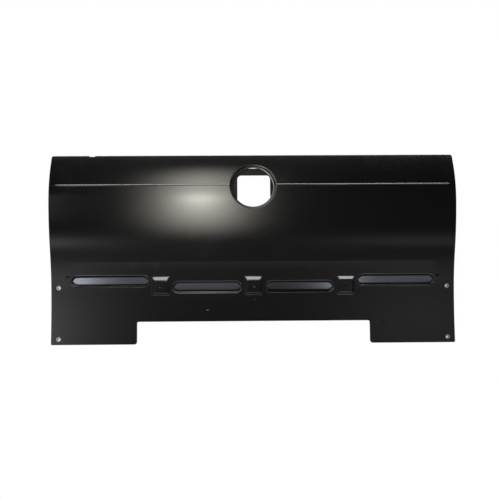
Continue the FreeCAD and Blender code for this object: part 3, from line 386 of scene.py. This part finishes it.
HOLES = []
for side in (-1, 1):
    HOLES += [(side * 655, 146.5, 3.6), (side * 163.5, 31, 3.6), (side * 460, -22.5, 3.6)]
    HOLES += [(side * 688, 107, 5.5), (side * 688, -73.5, 5.5)]
HOLES = [tuple(v * MM for v in hole) for hole in HOLES + [(0, 66, 3.6)]]
HOLES += [(centre, PAD_Z, 4.5 * MM) for centre in PADS]
BLOCKS = [cells_round((x, z), radius + 2.5 * MM) for x, z, radius in HOLES]


def pierced(sheet, hole, block):
    """A small round hole with a slightly drawn edge."""
    x, z, radius = hole
    border, angles = block_rings(block, (x, z), radius + 0.5 * MM)
    rim = [(x + (radius + 0.5 * MM) * cos(a), z + (radius + 0.5 * MM) * sin(a)) for a in angles]
    runs = [[front_point(*place) for place in border]]
    runs.append([front_point(*between(a, b, 0.5)) for a, b in zip(border, rim)])
    runs.append([front_point(*place) for place in rim])
    for sink in (0.5 * MM, 1.6 * MM):
        runs.append([front_point(x + radius * cos(a), z + radius * sin(a), sink) for a in angles])
    for near, far in zip(runs, runs[1:]):
        sheet.strip(near, far)


# %% [markdown]
# The handle opening is square to the crown, so it lies in a tilted frame. Its collar starts with a
# rolled rim, narrows inwards and ends in a small seat that the handle's housing rests on.

# %% Handle opening
APERTURE_Z = 465 * MM
APERTURE_R = 80 * MM
ROLL = 2.8 * MM
COLLAR_DEPTH = 20.8 * MM
SEAT_R = 72 * MM
DRAFT = tan(radians(8))
TILT = radians(14)
aperture_at = Vector((0, side_curve(APERTURE_Z)[0], APERTURE_Z))
inwards = Vector((0, cos(TILT), -sin(TILT)))
upwards = Vector((0, sin(TILT), cos(TILT)))


def aperture_point(angle, radius, depth):
    """A point by its angle, radius and depth about the opening's axis."""
    flat = Vector((radius * cos(angle), 0, 0)) + upwards * (radius * sin(angle))
    return aperture_at + flat + inwards * depth


def surface_depth(angle, radius):
    """How deep the plain curve lies at an angle and radius about the axis."""
    depth = 0.0
    for _ in range(12):
        place = aperture_point(angle, radius, depth)
        depth += side_curve(place.z)[0] - place.y
    return depth


def collar(sheet):
    """The rings from the grid to the rim, the roll, the drafted wall and the seat."""
    start = APERTURE_R + ROLL
    border, angles = block_rings(APERTURE_BLOCK, (0.0, APERTURE_Z), start, kept=24 * MM)
    rim = [aperture_point(a, start, surface_depth(a, start)) for a in angles]
    runs = []
    for part in (0, 0.2, 0.4, 0.6, 0.8, 0.92, 1):
        places = [between(place, (point.x, point.z), part) for place, point in zip(border, rim)]
        runs.append([front_point(*place) for place in places])
    corners = []
    for angle in angles:
        radius = APERTURE_R
        for _ in range(6):
            radius = APERTURE_R - surface_depth(angle, radius) * DRAFT
        corners.append((radius, surface_depth(angle, radius)))
    first = [(start, surface_depth(a, start)) for a in angles]
    last = [(radius - ROLL * DRAFT, depth + ROLL) for radius, depth in corners]
    for step in range(1, 7):
        t = step / 6
        run = []
        for angle, one, mid, two in zip(angles, first, corners, last):
            radius, depth = between(between(one, mid, t), between(mid, two, t), t)
            run.append(aperture_point(angle, radius, depth))
        runs.append(run)
    floor = COLLAR_DEPTH
    bend = 2 * MM
    foot_radius = APERTURE_R - floor * DRAFT
    for part in (0.5, 1):
        ends = [between(two, (foot_radius, floor - bend), part) for two in last]
        runs.append([aperture_point(a, *end) for a, end in zip(angles, ends)])
    for turn in (0.25, 0.5, 0.75, 1):
        angle_in = pi / 2 * turn
        radius = foot_radius - bend + bend * cos(angle_in)
        runs.append([aperture_point(a, radius, floor - bend + bend * sin(angle_in)) for a in angles])
    seat_edge = SEAT_R - 0.3 * MM
    for radius, depth in ((SEAT_R, floor), (seat_edge, floor + 0.3 * MM), (seat_edge, floor + 1.2 * MM)):
        runs.append([aperture_point(a, radius, depth) for a in angles])
    for near, far in zip(runs, runs[1:]):
        sheet.strip(near, far)


# %% [markdown]
# Now the front itself: every cell of the grid that no hole, notch or opening takes, then the rows
# that carry on over the top edge and down the rear lip.

# %% Front of the skin
def inside(block, x, z):
    """Whether a place lies in a block."""
    return block[0] < x < block[1] and block[2] < z < block[3]


def left_out(x, z):
    """Whether the cell round a place belongs to something else."""
    if inside(APERTURE_BLOCK, x, z) or (abs(x) < NOTCH and z < SHELF):
        return True
    if RELIEF[0] < x < RELIEF[1] and z > RELIEF[2]:
        return True
    return (abs(x) > RIM and z < HEM_TOP) or any(inside(block, x, z) for block in BLOCKS)


def lay_cells(sheet, xs, zs, sink=0.0):
    """The grid's faces on the outer surface or a layer behind it."""
    for x0, x1 in zip(xs, xs[1:]):
        for z0, z1 in zip(zs, zs[1:]):
            if not left_out((x0 + x1) / 2, (z0 + z1) / 2):
                sheet.face(*[front_point(x, z, sink) for x, z in ((x0, z0), (x1, z0), (x1, z1), (x0, z1))])


def lay_top(sheet, xs, sink=0.0):
    """The rows over the top edge and down the lip."""
    start = side_curve(crown_top)[0]
    rows = [(start + sink * cos(bend_lean), crown_top - sink * sin(bend_lean))] + over_the_top(sink)
    for x0, x1 in zip(xs, xs[1:]):
        for (y0, z0), (y1, z1) in zip(rows, rows[1:]):
            if left_out((x0 + x1) / 2, (z0 + z1) / 2) and (z0 + z1) / 2 > RELIEF[2]:
                continue
            corners = [(x0, y0, z0), (x1, y0, z0), (x1, y1, z1), (x0, y1, z1)]
            sheet.face(*[Vector((x, y, min(z, ceiling(x) - sink))) for x, y, z in corners])


skin_sheet = Sheet()
lay_cells(skin_sheet, WIDE, UP)
lay_top(skin_sheet, WIDE)
collar(skin_sheet)
for hole, block in zip(HOLES, BLOCKS):
    pierced(skin_sheet, hole, block)

# %% [markdown]
# The border is a hem: the sheet rolls back over the flange of the inner panel and lies flat behind
# it. One list walks the border and says which way is out, and the roll is swept along it.

# %% Hem
FLAP = 10 * MM
GAUGE = 1.2 * MM


def half_border():
    """The right half of the border as (x, z, out x, out z), from the shelf's middle to the hem's top."""
    path = [(x, SHELF, 0.0, -1.0) for x in ACROSS if 0 <= x < NOTCH - INNER_BEND - 1e-6]
    for step in range(5):
        turn = pi / 2 * (1 - step / 4)
        x = NOTCH - INNER_BEND + INNER_BEND * cos(turn)
        path.append((x, SHELF - INNER_BEND + INNER_BEND * sin(turn), -cos(turn), -sin(turn)))
    crossings = [(NOTCH, z) for z in reversed(UP) if z < SHELF - INNER_BEND - 1e-6]
    crossings += [(x, LEG_LOW) for x in ACROSS if NOTCH < x < RIM]
    crossings += [(RIM, z) for z in UP if z < HEM_TOP + 1e-6]
    for x, z in crossings:
        place = bent(x, z)
        out = (-1.0, 0.0) if x == NOTCH else (0.0, -1.0) if z == LEG_LOW else (1.0, 0.0)
        for middle, bend, way in ((NOTCH + INNER_BEND, INNER_BEND, -1), (RIM - OUTER_BEND, OUTER_BEND, 1)):
            if (x - middle) * way >= -1e-6 and z < LEG_LOW + bend + 1e-6:
                reach = Vector((place[0] - middle, place[1] - LEG_LOW - bend))
                out = tuple(reach.normalized())
        path.append((*place, *out))
    return path


def hem(sheet):
    """The roll and the flap, swept along the border."""
    right = half_border()
    path = [(-x, z, -out_x, out_z) for x, z, out_x, out_z in reversed(right[1:])] + right
    runs = []
    for step in range(9):
        turn = pi * step / 8
        runs.append([(HEM_ROLL - HEM_ROLL * cos(turn), HEM_ROLL * sin(turn))] * len(path))
    runs += [[(2 * HEM_ROLL, -FLAP)] * len(path), [(2 * HEM_ROLL - GAUGE, -FLAP)] * len(path)]
    laid = []
    for run in runs:
        row = []
        for (x, z, out_x, out_z), (sink, out) in zip(path, run):
            normal = skin_normal(z)
            along = Vector((0, normal.z, -normal.y))
            if out >= 0:
                row.append(skin_point(x, z, sink) + Vector((out_x * out, 0, 0)) + along * (out_z * out))
            else:
                row.append(skin_point(x + out_x * out, z + out_z * out, sink))
        laid.append(row)
    for near, far in zip(laid, laid[1:]):
        sheet.strip(near, far)
    return len(path)


def notch_fill(sheet):
    """The metal in the two hollow corners beside the notch."""
    zs = [z for z in reversed(UP) if SHELF - INNER_BEND - 1e-6 < z < SHELF + 1e-6]
    for side in (-1, 1):
        square = [(side * x, SHELF) for x in ACROSS if NOTCH - INNER_BEND - 1e-6 < x < NOTCH + 1e-6]
        square += [(side * NOTCH, z) for z in zs[1:]]
        arc = []
        for step in range(5):
            turn = pi / 2 * (1 - step / 4)
            x = NOTCH - INNER_BEND + INNER_BEND * cos(turn)
            arc.append((side * x, SHELF - INNER_BEND + INNER_BEND * sin(turn)))
        corner = front_point(side * NOTCH, SHELF)
        rim = [front_point(*place) for place in arc]
        for a, b in zip(rim, rim[1:]):
            sheet.face(corner, a, b)
        near = [front_point(*place) for place in square]
        middle = near.index(corner)
        sheet.face(*near[: middle + 1])
        sheet.face(*near[middle:])


print("hem points", hem(skin_sheet))
notch_fill(skin_sheet)
skin = skin_sheet.finish("skin")

# %% [markdown]
# The sheet is 1.2 mm thick, so a second layer stands behind the first, on wider lines because only
# its back can be seen.

# %% Back of the skin
back_sheet = Sheet()
KEPT = (abs(APERTURE_BLOCK[0]), NOTCH, HALF)
coarse_across = [x for i, x in enumerate(WIDE) if i % 2 == 0 or abs(x) in KEPT]
coarse_up = [z for i, z in enumerate(UP) if i % 2 == 0 or z in (SHELF, HEM_TOP, UP[-1])]
lay_cells(back_sheet, coarse_across, coarse_up, GAUGE)
lay_top(back_sheet, WIDE, GAUGE)
skin_back = back_sheet.finish("skin_back")
for piece in (skin, skin_back):
    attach(piece, "root")
    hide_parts("outer_skin")

# %% [markdown]
# Materials come next. Sockets get a thin wrapper, so that a texture can be written as arithmetic.

# %% A wrapper for node sockets
class Wire:
    """A node's output socket, with arithmetic."""

    def __init__(self, graph, socket):
        self.graph = graph
        self.socket = socket

    def math(self, operation, other, flipped=False):
        pair = (other, self) if flipped else (self, other)
        return self.graph.node("ShaderNodeMath", {"operation": operation}, {0: pair[0], 1: pair[1]})

    def __add__(self, other):
        return self.math("ADD", other)

    def __sub__(self, other):
        return self.math("SUBTRACT", other)

    def __mul__(self, other):
        return self.math("MULTIPLY", other)

    def __truediv__(self, other):
        return self.math("DIVIDE", other)

    def __rsub__(self, other):
        return self.math("SUBTRACT", other, flipped=True)

    __radd__ = __add__
    __rmul__ = __mul__


class Graph:
    """A material's or the world's node tree, cleared and ready to build."""

    def __init__(self, owner):
        owner.use_nodes = True
        self.tree = owner.node_tree
        self.tree.nodes.clear()

    def node(self, kind, settings=None, values=None, output=0):
        """Any node: its type, its settings and its sockets' values or links."""
        node = self.tree.nodes.new(kind)
        for name, value in (settings or {}).items():
            setattr(node, name, value)
        for name, value in (values or {}).items():
            if isinstance(value, Wire):
                self.tree.links.new(value.socket, node.inputs[name])
            else:
                node.inputs[name].default_value = value
        return Wire(self, node.outputs[output]) if len(node.outputs) else None

    def place(self):
        """Where the shaded point is on the object."""
        return self.node("ShaderNodeTexCoord", output="Object")

    def split(self, vector, axis):
        """One of a vector's three parts, by its number."""
        return self.node("ShaderNodeSeparateXYZ", None, {"Vector": vector}, output=axis)

    def noise(self, scale, detail=2.0, roughness=0.5):
        """Fractal noise from 0 to 1; the scale is per metre."""
        values = {"Vector": self.place(), "Scale": scale, "Detail": detail, "Roughness": roughness}
        return self.node("ShaderNodeTexNoise", None, values)

    def ramp(self, value, low, high, start=0.0, end=1.0):
        """A value carried from one range to another and held there."""
        names = ("From Min", "From Max", "To Min", "To Max")
        values = dict(zip(names, (low, high, start, end)))
        values["Value"] = value
        return self.node("ShaderNodeMapRange", {"clamp": True}, values)

    def bell(self, value, centre, width):
        """A rounded hill: 1 at its centre, falling to nothing over about twice its width."""
        off = (value - centre) / width
        return self.node("ShaderNodeMath", {"operation": "EXPONENT"}, {0: off * off * -1.0})

    def blend(self, one, other, part):
        """Two colours mixed by a part from 0 to 1."""
        values = {"Factor": part, 6: one, 7: other}
        return self.node("ShaderNodeMix", {"data_type": "RGBA"}, values, output=2)

    def bump(self, height, distance, strength=1.0, normal=None):
        """A bump, on top of another where one is given."""
        values = {"Height": height, "Distance": distance, "Strength": strength}
        if normal:
            values["Normal"] = normal
        return self.node("ShaderNodeBump", None, values)

    def output(self, shader):
        self.node("ShaderNodeOutputMaterial", None, {"Surface": shader})


# %% [markdown]
# The primer is a dip coat: black, thin and glossy, with a fine orange peel, a slow waviness from the
# press, and a little dust that dulls it in patches.

# %% Black primer
primer = bpy.data.materials.new("black_primer")
graph = Graph(primer)
patches = graph.noise(5.0, 4.0, 0.6)
dust = graph.ramp(graph.noise(38.0, 6.0, 0.65) * patches, 0.30, 0.52)
fine = graph.noise(900.0, 1.0)
specks = graph.ramp(graph.noise(420.0, 2.0), 0.68, 0.78)
black = graph.blend((0.0040, 0.0040, 0.0043, 1), (0.014, 0.013, 0.012, 1), dust * 0.6 + specks * 0.15)
gloss = graph.ramp(patches, 0.25, 0.75, 0.14, 0.19) + dust * 0.04 + specks * 0.08
wave = graph.bump(graph.noise(2.6, 1.0), 0.0012, 0.35)
peel = graph.bump(fine, 0.00004, 0.5, wave)
coat = {"Base Color": black, "Roughness": gloss, "Normal": peel, "IOR": 1.5}
graph.output(graph.node("ShaderNodeBsdfPrincipled", None, coat))

# %% [markdown]
# Behind the handle opening the bracket gets a darker, rougher copy of the primer: painted shade that
# stands in for the shadow in the opening. Being rough, it also keeps the bracket from mirroring the
# studio, which would spoil the opening's dark ring.

# %% Black inside, painted shade
inside = bpy.data.materials.new("black_painted_shade")
graph = Graph(inside)
shaded_roughness = graph.ramp(graph.noise(30.0, 4.0), 0.3, 0.7, 0.50, 0.64)
# Painted shade: the bracket's black is darker than the primer's, for the shadow in the handle opening.
painted_shade_black = graph.blend((0.0030, 0.0030, 0.0032, 1), (0.0060, 0.0058, 0.0056, 1), graph.noise(55.0, 3.0))
values = {"Base Color": painted_shade_black, "Roughness": shaded_roughness, "Specular IOR Level": 0.12}
values["Normal"] = graph.bump(graph.noise(700.0), 0.00005, 0.4)
graph.output(graph.node("ShaderNodeBsdfPrincipled", None, values))

# %% [markdown]
# The rivet nuts are zinc plated and go in after the dip, so they stay bright. Generated coordinates run
# from 0 to 1 over each nut, so one mask finds every nut's bore, which is painted near black: painted
# shade in the bore, over its oily thread.

# %% Zinc
zinc = bpy.data.materials.new("zinc")
graph = Graph(zinc)
grain = graph.noise(260.0, 4.0, 0.6)
stain = graph.ramp(graph.noise(60.0, 3.0), 0.4, 0.7)
plated = graph.blend((0.70, 0.70, 0.68, 1), (0.50, 0.50, 0.47, 1), stain)
spot = graph.node("ShaderNodeTexCoord", output="Generated")
across, up = (graph.split(spot, axis) - 0.5 for axis in (0, 2))
# The bore is painted near black: painted shade inside the bore, over its oily thread.
clear_of_bore_shade = graph.ramp(across * across + up * up, 0.040, 0.055)
values = {"Base Color": graph.blend((0.015, 0.015, 0.015, 1), plated, clear_of_bore_shade), "Metallic": 1.0}
values["Roughness"] = graph.ramp(grain, 0.3, 0.7, 0.26, 0.42)
values["Normal"] = graph.bump(grain, 0.00005, 0.3)
graph.output(graph.node("ShaderNodeBsdfPrincipled", None, values))
print("finishes", primer.name, inside.name, zinc.name)

# %% [markdown]
# Every piece of the frame gets one of these finishes. The shell is dipped whole, so the rails, plates
# and weld nuts are as black as the skin.

# %% Dress the pieces
RIVET_NUTS = [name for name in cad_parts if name.endswith("rivet_nut")]
for name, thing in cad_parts.items():
    bright = name in RIVET_NUTS
    # The handle bracket gets the darker copy of the primer: painted shade for the shadow in the opening.
    finish = zinc if bright else inside if name == "handle_bracket" else primer
    thing.data.materials.clear()
    thing.data.materials.append(finish)
    if name == "outer_skin":
        continue
    thing.data.polygons.foreach_set("use_smooth", [True] * len(thing.data.polygons))
for piece in (skin, skin_back):
    piece.data.materials.append(primer)
print(len(RIVET_NUTS), "bright nuts among", len(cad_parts), "pieces")

# %% [markdown]
# The camera stands a little over three metres from the gate's face and a few centimetres to the left
# of its middle, so it is turned one degree to the right. It is rolled by a third of a degree, as in
# the photograph.

# %% Camera
FOCAL = 857
PICTURE = 500
camera_data = bpy.data.cameras.new("camera")
camera_data.sensor_width = 36
camera_data.lens = 36 * FOCAL / PICTURE
camera = bpy.data.objects.new("camera", camera_data)
bpy.context.collection.objects.link(camera)
camera.location = (-0.0645, -3.070, 0.238)
TURN = radians(-1.0)
ROLL_OVER = radians(-0.34)
look = Matrix.Rotation(TURN, 4, "Z") @ Matrix.Rotation(radians(90), 4, "X")
look = look @ Matrix.Rotation(ROLL_OVER, 4, "Z")
camera.matrix_world = Matrix.Translation(camera.location) @ look
bpy.context.scene.camera = camera
print("lens", round(camera_data.lens, 2), "mm")

# %% [markdown]
# The studio is dim, which keeps the black black. A long box overhead, a little behind the gate, draws
# the feature line. A wide faint one on the left lifts that end. The belly shades the pads from above,
# so a narrow strip under it, facing down, gives their upper slopes the bright edge of the photograph.

# %% Lights
GATE = Vector((0.0, -0.05, 0.35))
WARM = (1.0, 0.97, 0.86)
COOL = (0.80, 0.88, 1.0)
WHITE = (1.0, 1.0, 1.0)


def around(turn, rise, distance):
    """A place seen from the gate: its angle to the right, its angle up and its distance."""
    turn, rise = radians(turn), radians(rise)
    return GATE + Vector((sin(turn) * cos(rise), -cos(turn) * cos(rise), sin(rise))) * distance


def soft_light(name, place, aim, size, radiance):
    """A soft white rectangle of a given brightness, facing a point."""
    light = bpy.data.lights.new(name, "AREA")
    light.shape = "RECTANGLE"
    light.size, light.size_y = size
    light.energy = radiance * size[0] * size[1] * pi
    light.color = WHITE
    holder = bpy.data.objects.new(name, light)
    bpy.context.collection.objects.link(holder)
    facing = (Vector(aim) - Vector(place)).to_track_quat("-Z", "Y").to_matrix().to_4x4()
    holder.matrix_world = Matrix.Translation(place) @ facing
    holder.visible_camera = False
    print(name, "gives", round(light.energy, 1), "W")


STRIP = Vector((0, -0.053, 0.20))
soft_light("overhead", around(0, 114, 2.0), GATE, (3.6, 1.0), 10.0)
soft_light("left_fill", around(-32, 6, 3.3), GATE, (1.0, 1.4), 0.5)
soft_light("pad_strip", STRIP, STRIP * Vector((1, 1, 0)), (1.3, 0.016), 9.5)

# %% [markdown]
# A glossy black sheet shows the shape of its lights, so a plain rectangle would draw a hard box on it.
# The rest of the light comes from screens that fade over their face. Each is a plane that adds its glow
# to what is behind it, so it hides nothing, and only its colour changes from place to place.

# %% Glowing screens
PEAK = 20.0


def screen(name, place, lean, size, colour, brightness):
    """A clear screen that glows over its face, by a rule for its brightness at x and z."""
    data = bpy.data.meshes.new(name)
    x, z = size[0] / 2, size[1] / 2
    data.from_pydata([(-x, 0, -z), (x, 0, -z), (x, 0, z), (-x, 0, z)], [], [(0, 1, 2, 3)])
    thing = bpy.data.objects.new(name, data)
    bpy.context.collection.objects.link(thing)
    thing.matrix_world = Matrix.Translation(place) @ Matrix.Rotation(radians(lean), 4, "X")
    thing.visible_camera = False
    material = bpy.data.materials.new(name)
    data.materials.append(material)
    graph = Graph(material)
    level = brightness(graph, graph.split(graph.place(), 0), graph.split(graph.place(), 2))
    tint = graph.blend((0, 0, 0, 1), (*colour, 1), level / PEAK)
    glow = graph.node("ShaderNodeEmission", None, {"Color": tint, "Strength": PEAK})
    clear = graph.node("ShaderNodeBsdfTransparent", None, {"Color": (1, 1, 1, 1)})
    graph.output(graph.node("ShaderNodeAddShader", None, {0: clear, 1: glow}))
    print(name, "is", size[0], "by", size[1], "m")


# %% [markdown]
# The key screen makes the glow beside the handle opening. It stands close to the gate, because the
# belly and the upright skirt then look at different heights of it: its lower edge fades out where the
# skirt looks, and the skirt stays black. A small hot spot sits in the middle of a wider glow.

# %% Key screen
KEY_MIDDLE = 1.1
KEY_HEIGHT = 0.50


def key_glow(graph, x, z):
    """Brightest near the belly's height, dark below it and fading slowly above."""
    height = z + KEY_MIDDLE
    above = graph.ramp(height, KEY_HEIGHT, 2.2, 0.0, 1.7)
    rise = graph.node("ShaderNodeMapRange", {"interpolation_type": "SMOOTHSTEP"}, {
        "Value": height, "From Min": 0.09, "From Max": 0.40})
    wide = graph.bell(x, 0.0, 0.165) * rise * graph.bell(above, 0.0, 0.62)
    hot = graph.bell(x, 0.0, 0.085) * graph.bell(height, 0.49, 0.10)
    return wide * 8.6 + hot * 8.5


screen("key_screen", (-0.20, -0.47, KEY_MIDDLE), 0, (1.3, 2.1), WARM, key_glow)

# %% [markdown]
# Two low screens do the rest. One lights the foot of the gate at its two ends. The other lies near the
# ground and gives the beads' floors their cold sheen, strong at the left end and weak in the middle.

# %% Low screens
def skirt_glow(graph, x, z):
    """A glow past the left end and a weaker one near the right end."""
    left = graph.bell(x, -1.10, 0.42) * 1.7
    right = graph.bell(x, 0.75, 0.45) * 0.42
    return (left + right) * graph.bell(z, 0.0, 0.065)


def bead_glow(graph, x, z):
    """An even glow with two bright places, and one dimmer place right of the middle."""
    bright_places = graph.bell(x, -0.88, 0.12) * 12.0 + graph.bell(x, 0.47, 0.07) * 7.5
    return bright_places + 1.7 - graph.bell(x, 0.14, 0.15) * 1.2


screen("skirt_screen", (0, -0.60, 0.03), 0, (3.0, 0.34), WHITE, skirt_glow)
screen("bead_screen", (0, -0.97, -0.65), 52, (2.4, 0.24), COOL, bead_glow)

# %% [markdown]
# Round all this the world is white to the camera and dim to the steel, as a white corner of a dark
# hall is.

# %% World
world = bpy.data.worlds.new("studio")
bpy.context.scene.world = world
graph = Graph(world)
seen = graph.node("ShaderNodeLightPath", output="Is Camera Ray")
tone = graph.blend((0.08, 0.08, 0.08, 1), (1, 1, 1, 1), seen)
surround = graph.node("ShaderNodeBackground", None, {"Color": tone, "Strength": 1.0})
graph.node("ShaderNodeOutputWorld", None, {"Surface": surround})

# %% [markdown]
# The gate hangs before white paper, well above a floor of the same paper. The paper glows white to the
# camera and in mirror images, and is matt to all other light, so it doesn't wash the gate out.

# %% Floor and backdrop
def plane(name, corners):
    """A flat piece of the stage."""
    data = bpy.data.meshes.new(name)
    data.from_pydata(corners, [], [(0, 1, 2, 3)])
    thing = bpy.data.objects.new(name, data)
    bpy.context.collection.objects.link(thing)
    return thing


FLOOR = -1.0
backdrop = plane("backdrop", [(-9, 5, FLOOR), (9, 5, FLOOR), (9, 5, 6), (-9, 5, 6)])
floor = plane("floor", [(-9, -1.2, FLOOR), (9, -1.2, FLOOR), (9, 5, FLOOR), (-9, 5, FLOOR)])
paper = bpy.data.materials.new("white_paper")
graph = Graph(paper)
rays = ("Is Camera Ray", "Is Glossy Ray", "Is Transmission Ray")
path = sum(graph.node("ShaderNodeLightPath", output=ray) for ray in rays)
matt = graph.node("ShaderNodeBsdfDiffuse", None, {"Color": (0.82, 0.82, 0.82, 1)})
glow = graph.node("ShaderNodeEmission", None, {"Color": (1, 1, 1, 1), "Strength": 1.0})
graph.output(graph.node("ShaderNodeMixShader", None, {0: path, 1: matt, 2: glow}))
for thing in (backdrop, floor):
    thing.data.materials.append(paper)
print("floor at", FLOOR, "m")

# %% [markdown]
# Last, the colour view is set to Standard.

# %% Colour view
bpy.context.scene.view_settings.view_transform = "Standard"
